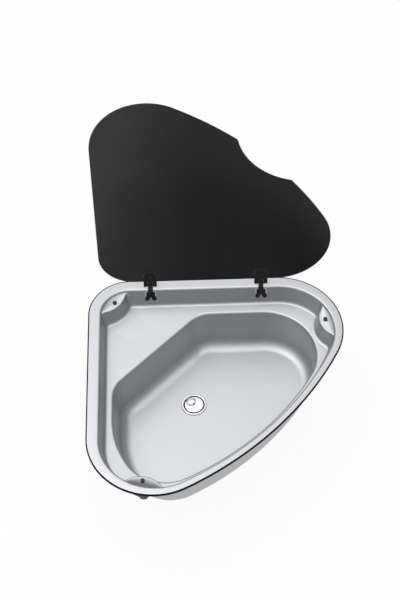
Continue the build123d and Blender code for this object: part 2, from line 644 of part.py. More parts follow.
def strainer_cup():
    """The pressed flange and tube that clamp the floor, with an inner seat for the plug."""
    under, top = FLOOR + FLANGE_SEAL, PLUG_TOP
    inner = CUP_R - CUP_WALL
    cup = turned(
        (inner, top - 0.3),
        (inner + 0.8, top),
        (FLANGE_R - 1.2, top - 0.1),
        (FLANGE_R, under + 0.2),
        (FLANGE_R, under),
        (CUP_R, under),
        (CUP_R, CUP_BOTTOM),
        (inner, CUP_BOTTOM),
        (inner, SEAT_Z - CUP_WALL),
        (CUP_SEAT_R, SEAT_Z - CUP_WALL),
        (CUP_SEAT_R, SEAT_Z),
        (inner, SEAT_Z),
    )
    bar = Box(2 * inner + CUP_WALL, 2.5, CUP_WALL)
    cross = Pos(0, 0, SEAT_Z - CUP_WALL / 2) * (bar + Rot(0, 0, 90) * bar)
    return cup + cross


def waste_body():
    """The plastic waste that screws on the cup's tube and narrows to the hose spigot."""
    top = CUP_BOTTOM + WASTE_CAP_DEPTH - WASTE_WALL
    inner, outer = CUP_R + SEATED, CUP_R + WASTE_WALL
    deck = CUP_BOTTOM - SEATED
    low = deck - WASTE_CONE
    foot = low - SPIGOT_LENGTH
    return turned(
        (inner, top),
        (outer, top),
        (outer, deck - WASTE_WALL),
        (SPIGOT_R, low),
        (SPIGOT_R, foot),
        (SPIGOT_BORE_R, foot),
        (SPIGOT_BORE_R, low + 1),
        (inner - WASTE_WALL, deck - 1),
        (inner - WASTE_WALL, deck),
        (inner, deck),
    )


def lock_nut():
    """The lobed plastic nut that draws the cup down on the floor."""
    top = FLOOR - SHEET - WASHER_THICK - 2 * SEATED
    nut = rod(LOCK_NUT_R - 1.5, top - LOCK_NUT_THICK, top)
    for step in range(8):
        lobe = Box(3, 7, LOCK_NUT_THICK)
        nut += Rot(0, 0, step * 45) * Pos(LOCK_NUT_R - 1.5, 0, top - LOCK_NUT_THICK / 2) * lobe
    return nut - rod(CUP_R + SEATED, top - 2 * LOCK_NUT_THICK, top + 1)


def plug_disc():
    """The domed plug lid with its turned-down edge."""
    edge = PLUG_CROWN - PLUG_DOME
    dome = Bezier((PLUG_R, edge), (PLUG_R / 2, PLUG_CROWN), (0, PLUG_CROWN))
    side = Polyline(
        (0, PLUG_CROWN),
        (0, PLUG_UNDER),
        (PLUG_R - PLUG_EDGE, PLUG_UNDER),
        (PLUG_R, PLUG_UNDER + PLUG_EDGE),
        (PLUG_R, edge),
    )
    return revolve(Plane.XZ * make_face([*dome.edges(), *side.edges()]), Axis.Z)


def plug_seal():
    """The black sealing washer and the short boss under the plug."""
    inner_seat = SEAT_Z + MOVING
    seal = rod(PLUG_SEAL_R, PLUG_UNDER - PLUG_SEAL_THICK, PLUG_UNDER)
    return seal + rod(CUP_SEAT_R - 1, inner_seat, PLUG_UNDER)


def plug_eye():
    """The bent wire ear on the plug's crown, which the pull ring hangs in."""
    bend = EYE_WIRE_R + EYE_PLAY + RING_WIRE_R
    arch = Rot(90, 0, 0) * Torus(bend, EYE_WIRE_R)
    arch &= Pos(0, 0, 5) * Box(20, 20, 10)
    legs = [Pos(side * bend, 0, 0) * rod(EYE_WIRE_R, PLUG_CROWN - RING_HEIGHT + SEATED, 0) for side in (-1, 1)]
    return Rot(0, 0, RING_TURN) * Pos(0, 0, RING_HEIGHT) * (arch + legs[0] + legs[1])


def pull_ring():
    """The round wire ring that lifts the plug, lying flat on it."""
    return Rot(0, 0, RING_TURN) * Pos(RING_R, 0, RING_HEIGHT) * Torus(RING_R, RING_WIRE_R)


seal_top = FLOOR - SHEET - SEATED
nodes["strainer_cup"] = strainer_cup()
nodes["flange_seal"] = ring(FLANGE_R - MOVING, CUP_R + SEATED, FLOOR + SEATED / 2, FLOOR + FLANGE_SEAL - SEATED / 2)
nodes["waste_washer"] = ring(WASHER_R, CUP_R + SEATED, seal_top - WASHER_THICK, seal_top)
nodes["lock_nut"] = lock_nut()
nodes["waste_body"] = waste_body()
nodes["plug_disc"] = plug_disc()
nodes["plug_seal"] = plug_seal()
nodes["plug_eye"] = plug_eye()
nodes["pull_ring"] = pull_ring()

for name, shape in nodes.items():
    export_step(shape, f"parts/{name}.step")
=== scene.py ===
import math

import bmesh
import bpy
import numpy as np
from mathutils import Matrix, Vector


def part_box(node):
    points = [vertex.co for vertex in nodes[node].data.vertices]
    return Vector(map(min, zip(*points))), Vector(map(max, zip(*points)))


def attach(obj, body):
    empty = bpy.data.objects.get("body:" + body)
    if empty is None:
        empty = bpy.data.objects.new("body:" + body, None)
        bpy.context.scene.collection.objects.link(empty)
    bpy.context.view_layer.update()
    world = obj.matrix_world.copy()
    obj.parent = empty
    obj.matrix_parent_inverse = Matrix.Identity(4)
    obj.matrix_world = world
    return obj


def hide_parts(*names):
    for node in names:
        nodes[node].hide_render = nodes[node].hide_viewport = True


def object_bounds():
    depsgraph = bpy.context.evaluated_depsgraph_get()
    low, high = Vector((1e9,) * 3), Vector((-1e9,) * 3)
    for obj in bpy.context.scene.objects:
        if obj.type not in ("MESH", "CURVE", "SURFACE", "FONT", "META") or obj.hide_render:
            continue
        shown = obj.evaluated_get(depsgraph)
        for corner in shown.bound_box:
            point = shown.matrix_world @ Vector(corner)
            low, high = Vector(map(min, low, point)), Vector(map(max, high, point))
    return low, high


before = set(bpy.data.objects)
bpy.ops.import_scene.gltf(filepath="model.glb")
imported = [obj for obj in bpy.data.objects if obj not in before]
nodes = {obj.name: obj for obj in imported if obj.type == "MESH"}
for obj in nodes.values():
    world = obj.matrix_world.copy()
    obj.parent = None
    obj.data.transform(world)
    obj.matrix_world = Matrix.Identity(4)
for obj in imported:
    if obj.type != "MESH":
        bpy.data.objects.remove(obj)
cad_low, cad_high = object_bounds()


# ---- The view ----
# The sink is seen from above and in front, with the lid swung up behind it.
# The camera's place, turn and lens are those that put the rim and the lid where the photograph has them.
VIEW_FROM = (0.031957, -1.968226, 2.775377)
VIEW_AT = (0.01763, 0.16188, 0.0048)
VIEW_ROLL = -1.945
VIEW_LENS, VIEW_SENSOR = 105.9, 36.0
VIEW_REACH = 50.0


def aimed(place, target, roll):
    """The matrix of a camera or lamp at a place, facing a target and turned by roll degrees."""
    back = (Vector(place) - Vector(target)).normalized()
    right = (-back).cross(Vector((0, 0, 1))).normalized()
    up = right.cross(-back)
    turn = math.radians(roll)
    level = right * math.cos(turn) + up * math.sin(turn)
    tall = up * math.cos(turn) - right * math.sin(turn)
    columns = Matrix((level, tall, back)).transposed().to_4x4()
    return Matrix.Translation(place) @ columns


camera = bpy.data.objects.new("view_camera", bpy.data.cameras.new("view_camera"))
camera.matrix_world = aimed(VIEW_FROM, VIEW_AT, VIEW_ROLL)
camera.data.lens = VIEW_LENS
camera.data.sensor_width = VIEW_SENSOR
camera.data.clip_end = VIEW_REACH
bpy.context.scene.collection.objects.link(camera)
bpy.context.scene.camera = camera
bpy.context.scene.view_settings.view_transform = "Standard"


# ---- The studio ----
# A pale floor, a wide soft ceiling over the sink, dim walls, and three soft lamps above, right and left.
# The sky is white to the camera. The floor is nearly white to it and in reflections, under a faint shadow.
FLOOR_COLOUR = (0.86, 0.86, 0.86, 1.0)
FLOOR_SIZE = 30.0
FLOOR_BACKDROP = 0.93
CEILING_FROM, FRONT_FROM = (-0.16, 0.20, 0.97), (0, -1, 0.4)
CEILING_EDGE, CEILING_CORE = 0.45, 0.92
FRONT_EDGE, FRONT_CORE = 0.3, 0.95
WALLS, CEILING, FRONT_WALL = 0.18, 1.28, 0.26
SKY_COLOUR, WHITE = (0.98, 0.99, 1.0, 1), (1, 1, 1, 1)


def seen_directly(tree, with_gloss):
    """1 for camera rays, and for reflected and transmitted ones too if with_gloss."""
    path = tree.nodes.new("ShaderNodeLightPath")
    seen = path.outputs["Is Camera Ray"]
    if with_gloss:
        for ray in ("Is Glossy Ray", "Is Transmission Ray"):
            either = tree.nodes.new("ShaderNodeMath")
            either.operation = "MAXIMUM"
            tree.links.new(seen, either.inputs[0])
            tree.links.new(path.outputs[ray], either.inputs[1])
            seen = either.outputs[0]
    return seen


def studio_floor():
    """A flat diffuse square at the object's lowest height, mixed with a white glow where it is seen."""
    half = FLOOR_SIZE / 2
    corners = [(x * half, y * half, cad_low.z) for x, y in ((-1, -1), (1, -1), (1, 1), (-1, 1))]
    mesh = bpy.data.meshes.new("studio_floor")
    mesh.from_pydata(corners, [], [(0, 1, 2, 3)])
    floor = bpy.data.objects.new("studio_floor", mesh)
    bpy.context.scene.collection.objects.link(floor)
    paint = bpy.data.materials.new("studio_floor")
    paint.use_nodes = True
    tree = paint.node_tree
    tree.nodes.clear()
    out = tree.nodes.new("ShaderNodeOutputMaterial")
    mix = tree.nodes.new("ShaderNodeMixShader")
    diffuse = tree.nodes.new("ShaderNodeBsdfDiffuse")
    glow = tree.nodes.new("ShaderNodeEmission")
    share = tree.nodes.new("ShaderNodeMath")
    share.operation = "MULTIPLY"
    share.inputs[1].default_value = FLOOR_BACKDROP
    diffuse.inputs["Color"].default_value = FLOOR_COLOUR
    glow.inputs["Strength"].default_value = 1.0
    tree.links.new(seen_directly(tree, True), share.inputs[0])
    tree.links.new(share.outputs[0], mix.inputs[0])
    tree.links.new(diffuse.outputs[0], mix.inputs[1])
    tree.links.new(glow.outputs[0], mix.inputs[2])
    tree.links.new(mix.outputs[0], out.inputs["Surface"])
    mesh.materials.append(paint)


def towards(tree, direction, edge, core, low, high):
    """A value over the sky: low until a direction's cosine passes edge, then smoothly up to high at core."""
    coordinates = tree.nodes.new("ShaderNodeTexCoord")
    facing = tree.nodes.new("ShaderNodeVectorMath")
    facing.operation = "DOT_PRODUCT"
    facing.inputs[1].default_value = Vector(direction).normalized()
    tree.links.new(coordinates.outputs["Generated"], facing.inputs[0])
    ramp = tree.nodes.new("ShaderNodeMapRange")
    ramp.interpolation_type = "SMOOTHSTEP"
    for socket, value in zip(("From Min", "From Max", "To Min", "To Max"), (edge, core, low, high)):
        ramp.inputs[socket].default_value = value
    tree.links.new(facing.outputs["Value"], ramp.inputs["Value"])
    return ramp.outputs[0]


def studio_world():
    """Light from all round: brightest overhead, a little to the back and left, and dim at the walls."""
    world = bpy.data.worlds.new("studio")
    bpy.context.scene.world = world
    world.use_nodes = True
    tree = world.node_tree
    tree.nodes.clear()
    out = tree.nodes.new("ShaderNodeOutputWorld")
    ceiling = towards(tree, CEILING_FROM, CEILING_EDGE, CEILING_CORE, WALLS, CEILING)
    front = towards(tree, FRONT_FROM, FRONT_EDGE, FRONT_CORE, 0.0, FRONT_WALL)
    strength = tree.nodes.new("ShaderNodeMath")
    tree.links.new(ceiling, strength.inputs[0])
    tree.links.new(front, strength.inputs[1])
    around = tree.nodes.new("ShaderNodeBackground")
    around.inputs["Color"].default_value = SKY_COLOUR
    tree.links.new(strength.outputs[0], around.inputs["Strength"])
    white = tree.nodes.new("ShaderNodeBackground")
    white.inputs["Color"].default_value = WHITE
    white.inputs["Strength"].default_value = 1.0
    mix = tree.nodes.new("ShaderNodeMixShader")
    tree.links.new(seen_directly(tree, False), mix.inputs[0])
    tree.links.new(around.outputs[0], mix.inputs[1])
    tree.links.new(white.outputs[0], mix.inputs[2])
    tree.links.new(mix.outputs[0], out.inputs["Surface"])


def softbox(name, place, target, width, height, power):
    """A soft rectangular lamp at a place, facing a target."""
    lamp = bpy.data.lights.new(name, "AREA")
    lamp.shape = "RECTANGLE"
    lamp.size, lamp.size_y, lamp.energy = width, height, power
    box = bpy.data.objects.new(name, lamp)
    box.matrix_world = aimed(place, target, 0)
    bpy.context.scene.collection.objects.link(box)


studio_floor()
studio_world()
softbox("softbox_above", (-0.9, 0.6, 2.6), (-0.1, 0, 0), width=1.2, height=1.4, power=12)
softbox("softbox_right", (1.4, -0.4, 2.0), (0, 0, 0), width=0.8, height=1.2, power=4)
softbox("softbox_left", (-2.4, -1.2, 1.8), (0, 0.1, 0.1), width=1.2, height=1.6, power=4)


# ---- Sink pressing ----
# One sheet of stainless steel, deep drawn into rim, ledge and bowl and satin finished on its upper side.
# The finish is a fine grain along the rolled sheet, with faint clouds where the press stretched it.
MM = 0.001
seal_low, seal_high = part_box("rim_seal")
RIM_LEFT, RIM_BACK = seal_low.x / MM, seal_high.y / MM
RIM_LEG = (seal_high.x - seal_low.x) / MM
RIM_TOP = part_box("sink_pressing")[1].z / MM
RIM_SQUARE_R, RIM_TIP_R, RIM_BOW_R = 81.0, 128.9, 693.6
RIM_WIDE, RIM_NARROW, RIM_ROLL = 20.7, 13.5, 5.0
SHEET, SEAL_LIP = 0.8, 2.5
RIM_CROWN, EDGE_SHARP = 0.35, 0.15
RECESS_SQUARE_R, RECESS_TIP_R, RECESS_BOW_R = 60.0, 112.0, 640.0
RECESS_DRAFT = math.radians(12)
DRAFT_SLOPE, DRAFT_TURN = math.tan(RECESS_DRAFT), math.pi / 2 - RECESS_DRAFT
LEDGE_DEPTH, LEDGE_FOOT_R, LEDGE_ROOM = 40.0, 7.0, 0.9
BOSS_DEPTH, BOSS_TOP_R, BOSS_BLEND_R = 5.0, 3.0, 18.0
BOSS_TOP_BLEND_R, BOSS_SETTLED = 9.0, 13.0
SQUARE_BOSS_IN, SQUARE_BOSS_R = 22.0, 52.0
TIP_BOSS_PAST_RIM, TIP_BOSS_ALONG, TIP_BOSS_R = 2.7, 101.3, 48.5
BOWL_DEPTH, BOWL_EDGE_R, BOWL_FLOOR_R = 130.0, 5.5, 25.0
BOWL_LEDGE_LEFT, BOWL_LEDGE_BACK, BOWL_LEDGE_TIP = 27.9, 36.7, 40.5
BOWL_CHAMFER, BOWL_CORNER_R, BOWL_SWEEP_R, BOWL_SWEEP_BEHIND = 170.0, 60.0, 200.0, 197.0
CHAMFER_TURN = math.pi / 4
BOWL_FRONT_R, BOWL_RIGHT_R, BOWL_BOW_R = 85.0, 104.0, 585.0
BOWL_WALL_RUN, BOWL_RIGHT_RUN, BOWL_FRONT_RUN = 12.6, 6.0, 4.0
DRAIN_HOLE_R = 22.4
AROUND = np.linspace(-np.pi, np.pi, 960, endpoint=False)
LINE_STEPS = 120
RIM_RINGS, ROLL_RINGS, BOSS_RINGS, SETTLE_RINGS = 7, 9, 7, 5
WALL_RINGS, BEND_RINGS, FLOOR_BEND_RINGS, FLOOR_RINGS = 8, 10, 14, 6
WELD = 0.000002
STEEL = (0.605, 0.61, 0.625, 1.0)
# The second value is painted shade: the colour of the steep walls is scaled down to it.
STEEL_ROUGH, STEEP_WALL_PAINTED_SHADE = 0.48, 0.80
STEEP_WALL, FLAT_FACE = 0.25, 0.75
GRAIN_SCALE, GRAIN_DETAIL = (50.0, 2600.0, 2600.0), 3.0
CLOUD_SCALE, CLOUD_DETAIL = 9.0, 2.0


def effect_group(name, inputs, outputs):
    """A new shader node group with named value or colour sockets, and its own input and output nodes."""
    group = bpy.data.node_groups.new(name, "ShaderNodeTree")
    kinds = {"value": "NodeSocketFloat", "colour": "NodeSocketColor"}
    for socket, kind, default in inputs:
        made = group.interface.new_socket(socket, in_out="INPUT", socket_type=kinds[kind])
        made.default_value = default
    for socket, kind in outputs:
        group.interface.new_socket(socket, in_out="OUTPUT", socket_type=kinds[kind])
    return group, group.nodes.new("NodeGroupInput"), group.nodes.new("NodeGroupOutput")


def math_node(tree, operation, first, second):
    """A Math node of two values, each a socket or a plain number, and its result."""
    node = tree.nodes.new("ShaderNodeMath")
    node.operation = operation
    for socket, value in zip(node.inputs, (first, second)):
        if isinstance(value, (int, float)):
            socket.default_value = value
        else:
            tree.links.new(value, socket)
    return node.outputs[0]


def scaled(tree, colour, factor):
    """A colour times a value, each a socket."""
    node = tree.nodes.new("ShaderNodeVectorMath")
    node.operation = "SCALE"
    tree.links.new(colour, node.inputs[0])
    tree.links.new(factor, node.inputs["Scale"])
    return node.outputs[0]


def noise(tree, scale, detail, stretch=None):
    """Noise from -0.5 to 0.5 on the piece's own coordinates, stretched by three factors if given."""
    place = tree.nodes.new("ShaderNodeTexCoord").outputs["Object"]
    if stretch:
        mapping = tree.nodes.new("ShaderNodeMapping")
        mapping.inputs["Scale"].default_value = stretch
        tree.links.new(place, mapping.inputs["Vector"])
        place = mapping.outputs[0]
    texture = tree.nodes.new("ShaderNodeTexNoise")
    texture.inputs["Scale"].default_value = scale
    texture.inputs["Detail"].default_value = detail
    tree.links.new(place, texture.inputs["Vector"])
    return math_node(tree, "SUBTRACT", texture.outputs["Fac"], 0.5)


def surface_group():
    """Fine stretched grain and broad soft clouds as colour, roughness and height; painted shade on steep
    faces.
    """
    inputs = [
        ("Shade", "value", 0.05),
        ("Roughness", "value", 0.3),
        ("Roughness Grain", "value", 0.1),
        ("Roughness Clouds", "value", 0.1),
        ("Wall Shade", "value", 1.0),
        ("Colour", "colour", (0.5, 0.5, 0.5, 1)),
    ]
    outputs = [("Colour", "colour"), ("Roughness", "value"), ("Height", "value")]
    group, given, out = effect_group("metal_grain_and_shade", inputs, outputs)
    grain = noise(group, 1.0, GRAIN_DETAIL, GRAIN_SCALE)
    clouds = noise(group, CLOUD_SCALE, CLOUD_DETAIL)
    shade = math_node(group, "MULTIPLY", math_node(group, "ADD", grain, clouds), given.outputs["Shade"])
    brighter = scaled(group, given.outputs["Colour"], math_node(group, "ADD", shade, 1.0))
    # Painted shade: the colour is darkened on steep faces, by how steep they are, down to the given factor.
    steepness = group.nodes.new("ShaderNodeSeparateXYZ")
    group.links.new(group.nodes.new("ShaderNodeNewGeometry").outputs["Normal"], steepness.inputs[0])
    wall_shade = group.nodes.new("ShaderNodeMapRange")
    wall_shade.interpolation_type = "SMOOTHSTEP"
    group.links.new(math_node(group, "ABSOLUTE", steepness.outputs["Z"], 0.0), wall_shade.inputs["Value"])
    for socket, value in zip(("From Min", "From Max", "To Max"), (STEEP_WALL, FLAT_FACE, 1.0)):
        wall_shade.inputs[socket].default_value = value
    group.links.new(given.outputs["Wall Shade"], wall_shade.inputs["To Min"])
    group.links.new(scaled(group, brighter, wall_shade.outputs[0]), out.inputs["Colour"])
    fine = math_node(group, "MULTIPLY", grain, given.outputs["Roughness Grain"])
    broad = math_node(group, "MULTIPLY", clouds, given.outputs["Roughness Clouds"])
    rough = math_node(group, "ADD", math_node(group, "ADD", fine, broad), given.outputs["Roughness"])
    group.links.new(rough, out.inputs["Roughness"])
    group.links.new(grain, out.inputs["Height"])
    return group


METAL_GRAIN_AND_SHADE = surface_group()


def metal(name, colour, roughness, shade, grain, clouds, bump, wall_shade=1.0):
    """A metal finish: the grain group drives colour, roughness and a bump of the given depth in metres.

    Steep walls get painted shade: their colour is scaled down to the given factor, full again on flat faces.
    """
    finish = bpy.data.materials.new(name)
    finish.use_nodes = True
    tree = finish.node_tree
    shader = tree.nodes["Principled BSDF"]
    effect = tree.nodes.new("ShaderNodeGroup")
    effect.node_tree = METAL_GRAIN_AND_SHADE
    effect.inputs["Colour"].default_value = colour
    effect.inputs["Roughness"].default_value = roughness
    effect.inputs["Shade"].default_value = shade
    effect.inputs["Roughness Grain"].default_value = grain
    effect.inputs["Roughness Clouds"].default_value = clouds
    effect.inputs["Wall Shade"].default_value = wall_shade
    tree.links.new(effect.outputs["Colour"], shader.inputs["Base Color"])
    tree.links.new(effect.outputs["Roughness"], shader.inputs["Roughness"])
    shader.inputs["Metallic"].default_value = 1.0
    relief = tree.nodes.new("ShaderNodeBump")
    relief.inputs["Distance"].default_value = bump
    relief.inputs["Strength"].default_value = 1.0
    tree.links.new(effect.outputs["Height"], relief.inputs["Height"])
    tree.links.new(relief.outputs["Normal"], shader.inputs["Normal"])
    return finish


def circle_at(across, front, radius):
    """A circle of the plan, in mm from the rim's left and back edges; a negative radius bends inwards."""
    return (RIM_LEFT + across, RIM_BACK - front, radius)


def grown(circles, amount):
    """The outline round the same circles, further out by the amount."""
    return [(x, y, radius + amount) for x, y, radius in circles]


def drafted(circles, depth):
    """The outline further in, as the recess's sloping wall is at that depth below it."""
    return grown(circles, -depth * DRAFT_SLOPE)


def touching(one, other, radius, side):
    """The circle of that radius that touches both circles from outside them or round them, to one side."""
    dx, dy = other[0] - one[0], other[1] - one[1]
    apart = math.hypot(dx, dy)
    from_one, from_other = abs(one[2] - radius), abs(other[2] - radius)
    along = (from_one**2 - from_other**2 + apart**2) / (2 * apart)
    off = side * math.sqrt(from_one**2 - along**2)
    return (one[0] + (dx * along - dy * off) / apart, one[1] + (dy * along + dx * off) / apart, radius)


def corner_plan(low, high, square, tip, bow):
    """The corner shape: a square corner, two tips and a bow between them, as four circles."""
    front, right = circle_at(low + tip, high - tip, tip), circle_at(high - tip, low + tip, tip)
    return [circle_at(low + square, low + square, square), front, touching(front, right, bow, 1), right]


def bossed(line, blend_r):
    """The recess's line with its three clamp bosses, inward arcs blended into the wall by blend_r."""
    square, front, bow, right = line
    corner_boss = circle_at(SQUARE_BOSS_IN, SQUARE_BOSS_IN, -SQUARE_BOSS_R)
    tip_out = RIM_LEG + TIP_BOSS_PAST_RIM
    front_boss = circle_at(TIP_BOSS_ALONG, tip_out, -TIP_BOSS_R)
    right_boss = circle_at(tip_out, TIP_BOSS_ALONG, -TIP_BOSS_R)
    left_x = square[0] - square[2] + blend_r
    back_y = square[1] + square[2] - blend_r
    out = SQUARE_BOSS_R + blend_r
    left_blend = (left_x, corner_boss[1] - math.sqrt(out**2 - (left_x - corner_boss[0]) ** 2), blend_r)
    back_blend = (corner_boss[0] + math.sqrt(out**2 - (back_y - corner_boss[1]) ** 2), back_y, blend_r)
    blends = [touching(tip, boss, blend_r, side)
              for tip, boss in ((front, front_boss), (right, right_boss)) for side in (-1, 1)]
    around_front = [front, blends[0], front_boss, blends[1], front]
    around_right = [right, blends[2], right_boss, blends[3], right]
    return [left_blend, *around_front, bow, *around_right, back_blend, corner_boss]


def bowl_plan(down):
    """The bowl's line at a share of the way down its wall: chamfered back left, bowed along the front."""
    wall, right_run, front_run = (run * down for run in (BOWL_WALL_RUN, BOWL_RIGHT_RUN, BOWL_FRONT_RUN))
    left, back = RIM_WIDE + BOWL_LEDGE_LEFT + wall, RIM_WIDE + BOWL_LEDGE_BACK + wall
    far = RIM_LEG - RIM_NARROW - BOWL_LEDGE_TIP
    corner, sweep, front_r = BOWL_CORNER_R - wall, BOWL_SWEEP_R - wall, BOWL_FRONT_R - front_run
    right_r = BOWL_RIGHT_R - (wall + right_run) / 2
    past_chamfer = BOWL_CHAMFER + BOWL_CORNER_R * math.tan(CHAMFER_TURN / 2)
    left_corner = circle_at(left + corner, back - wall + past_chamfer, corner)
    back_corner = circle_at(left - wall + past_chamfer, back + corner, corner)
    front_out = far - front_run - front_r
    sweep_front = RIM_LEG - BOWL_SWEEP_BEHIND
    run_across = math.sqrt((sweep - front_r) ** 2 - (front_out - sweep_front) ** 2)
    front = circle_at(left + sweep - run_across, front_out, front_r)
    right = circle_at(far - right_run - right_r, back + right_r, right_r)
    sweep_circle = circle_at(left + sweep, sweep_front, sweep)
    return [left_corner, sweep_circle, front, touching(front, right, BOWL_BOW_R, 1), right, back_corner]


def line_round(circles):
    """Points on the line round the circles, anticlockwise: an arc on each, centre + radius (cos a, sin a).

    Two neighbours share the normal angle a at which their common tangent touches both.
    """
    centres = np.array(circles)
    following = np.roll(centres, -1, axis=0)
    dx, dy, step = (following - centres).T * np.array([[1.0], [1.0], [-1.0]])
    across = np.sqrt(np.maximum(dx * dx + dy * dy - step * step, 0))
    across[across < np.abs(step) / 1000] = 0
    end = np.arctan2(step * dy - across * dx, step * dx + across * dy)
    start = np.roll(end, 1)
    turn = (end - start) % (2 * np.pi) - np.where(centres[:, 2] < 0, 2 * np.pi, 0)
    share = np.linspace(0, 1, LINE_STEPS)
    angle = start[:, None] + turn[:, None] * share
    arc = centres[:, None, :2] + centres[:, None, 2:] * np.stack([np.cos(angle), np.sin(angle)], 2)
    ahead = np.roll(arc[:, :1], -1, axis=0)
    straight = arc[:, -1:] + (ahead - arc[:, -1:]) * share[None, 1:-1, None]
    return np.concatenate([arc, straight], 1).reshape(-1, 2)


def reach(circles):
    """How far the line round the circles lies from the drain's axis, at each of the AROUND angles."""
    points = line_round(circles)
    return np.interp(AROUND, np.arctan2(points[:, 1], points[:, 0]), np.hypot(*points.T), period=2 * np.pi)


def between(one, other, steps):
    """The rings between two rings, each a straight share of the way from one to the other."""
    return [(one[0] + (other[0] - one[0]) * t, one[1] + (other[1] - one[1]) * t)
            for t in np.linspace(0, 1, steps)[1:-1]]


def rounded_step(radius, steep, rounds):
    """Where a rounded corner's rings lie: in from its start and down from it, over the turn to the wall."""
    turn = np.linspace(0, 1, rounds)[:, None] * steep
    return radius * np.sin(turn), radius * (1 - np.cos(turn))


def bend(line, radius, turn, height, rounds, side):
    """The rings of an arc of that radius at the line, between a flat at that height and the wall.

    The wall goes down inside the line where side is 1, and up outside it where side is -1. The arc
    starts R tan(turn / 2) before the corner.
    """
    at = reach(line)
    rate = reach(grown(line, 1)) - at
    across, off = rounded_step(radius, turn, rounds)
    lead = radius * np.tan(turn / 2)
    rings = [(at + side * rate * (lead - a), height - side * o) for a, o in zip(across, off)]
    return rings[::side]


def rim_rings(recess):
    """The rim: slightly crowned from the sheet's edge, then rolled over into the recess."""
    outer, inner = reach(grown(RIM, -SEAL_LIP)), reach(recess)
    rings = [(outer, RIM_TOP - RIM_CROWN), (outer - EDGE_SHARP, RIM_TOP - RIM_CROWN)]
    for t in np.linspace(0, 1, RIM_RINGS)[1:-1]:
        rings.append((outer + (inner - outer) * t, RIM_TOP - RIM_CROWN * (1 - t) ** 2))
    roll_in, roll_down = rounded_step(RIM_ROLL, DRAFT_TURN, ROLL_RINGS)
    for inward, down in zip(roll_in[:, 0], roll_down[:, 0]):
        rings.append((reach(grown(recess, -inward)), RIM_TOP - down))
    return rings


def recess_rings(mouth):
    """The recess's wall past the bosses' rounded tops, and the line that it reaches at the ledge.

    The tight blend round the tops has widened to the wall's own blend at the depth BOSS_SETTLED. From
    there the bosses widen with the draft, which leaves room underneath for the clamp arms.
    """
    at_bosses = drafted(mouth, BOSS_DEPTH)
    rings = [(reach(at_bosses), RIM_TOP - BOSS_DEPTH)]
    top, low = bossed(at_bosses, BOSS_TOP_BLEND_R), bossed(at_bosses, BOSS_BLEND_R)
    lead = BOSS_TOP_R * math.tan(DRAFT_TURN / 2)
    top_in, top_down = rounded_step(BOSS_TOP_R, DRAFT_TURN, BOSS_RINGS)
    for inward, down in zip(top_in[:, 0], top_down[:, 0]):
        depth = BOSS_DEPTH + down
        boss_edge, wall = reach(grown(top, lead - inward)), reach(drafted(mouth, depth))
        rings.append((np.minimum(boss_edge, wall), RIM_TOP - depth))
    settled = (reach(drafted(low, BOSS_SETTLED - BOSS_DEPTH)), RIM_TOP - BOSS_SETTLED)
    rings += between(rings[-1], settled, SETTLE_RINGS) + [settled]
    return rings, drafted(low, LEDGE_DEPTH - BOSS_DEPTH)


def bowl_rings(above, foot):
    """From a ring on the recess's wall round the ledge, down the bowl's wall and in to the drain hole.

    Where the ledge is narrow, its two bends shrink together to keep within LEDGE_ROOM of its width.
    """
    edge, base = bowl_plan(0), bowl_plan(1)
    ledge, floor = RIM_TOP - LEDGE_DEPTH, RIM_TOP - BOWL_DEPTH
    foot_reach, edge_reach = reach(foot), reach(edge)
    foot_rate, edge_rate = reach(grown(foot, 1)) - foot_reach, reach(grown(edge, 1)) - edge_reach
    wall_turn = math.pi / 2 - np.arctan((edge_reach - reach(base)) / edge_rate / (ledge - floor))
    room = 2 * (foot_reach - edge_reach) / (foot_rate + edge_rate)
    wanted = LEDGE_FOOT_R * math.tan(DRAFT_TURN / 2) + BOWL_EDGE_R * np.tan(wall_turn / 2)
    share = np.minimum(1, LEDGE_ROOM * room / wanted)
    foot_bend = bend(foot, LEDGE_FOOT_R * share, DRAFT_TURN, ledge, BEND_RINGS, -1)
    edge_bend = bend(edge, BOWL_EDGE_R * share, wall_turn, ledge, BEND_RINGS, 1)
    floor_bend = bend(base, BOWL_FLOOR_R, wall_turn, floor, FLOOR_BEND_RINGS, -1)
    near_hole, hole = (DRAIN_HOLE_R + EDGE_SHARP, floor), (DRAIN_HOLE_R, floor)
    rings = between(above, foot_bend[0], WALL_RINGS) + foot_bend + edge_bend
    rings += between(edge_bend[-1], floor_bend[0], WALL_RINGS) + floor_bend
    return rings + between(floor_bend[-1], near_hole, FLOOR_RINGS) + [near_hole, hole]


def pressing_rings():
    """The sheet's upper face from its edge to the drain hole, ring by ring.

    Each line of the plan is an outline of circles. Between them the profile runs straight, and at each
    corner it turns through an arc.
    """
    recess = corner_plan(RIM_WIDE, RIM_LEG - RIM_NARROW, RECESS_SQUARE_R, RECESS_TIP_R, RECESS_BOW_R)
    mouth = grown(recess, -RIM_ROLL * math.tan(DRAFT_TURN / 2))
    wall, foot = recess_rings(mouth)
    return rim_rings(recess) + wall + bowl_rings(wall[-1], foot)


def grid_mesh(name, points, close_rows):
    """A smooth mesh of quads over a grid of points, its columns joined last to first, its rows if asked."""
    rows, columns = points.shape[:2]
    number = np.arange(rows * columns).reshape(rows, columns)
    down = np.roll(number, -1, 0) if close_rows else number[1:]
    here = number if close_rows else number[:-1]
    faces = np.stack([here, np.roll(here, -1, 1), np.roll(down, -1, 1), down], 2)
    mesh = bpy.data.meshes.new(name)
    mesh.from_pydata(points.reshape(-1, 3), [], faces.reshape(-1, 4).tolist())
    sheet = bmesh.new()
    sheet.from_mesh(mesh)
    bmesh.ops.remove_doubles(sheet, verts=sheet.verts, dist=WELD)
    sheet.to_mesh(mesh)
    sheet.free()
    mesh.polygons.foreach_set("use_smooth", np.ones(len(mesh.polygons), dtype=bool))
    return mesh


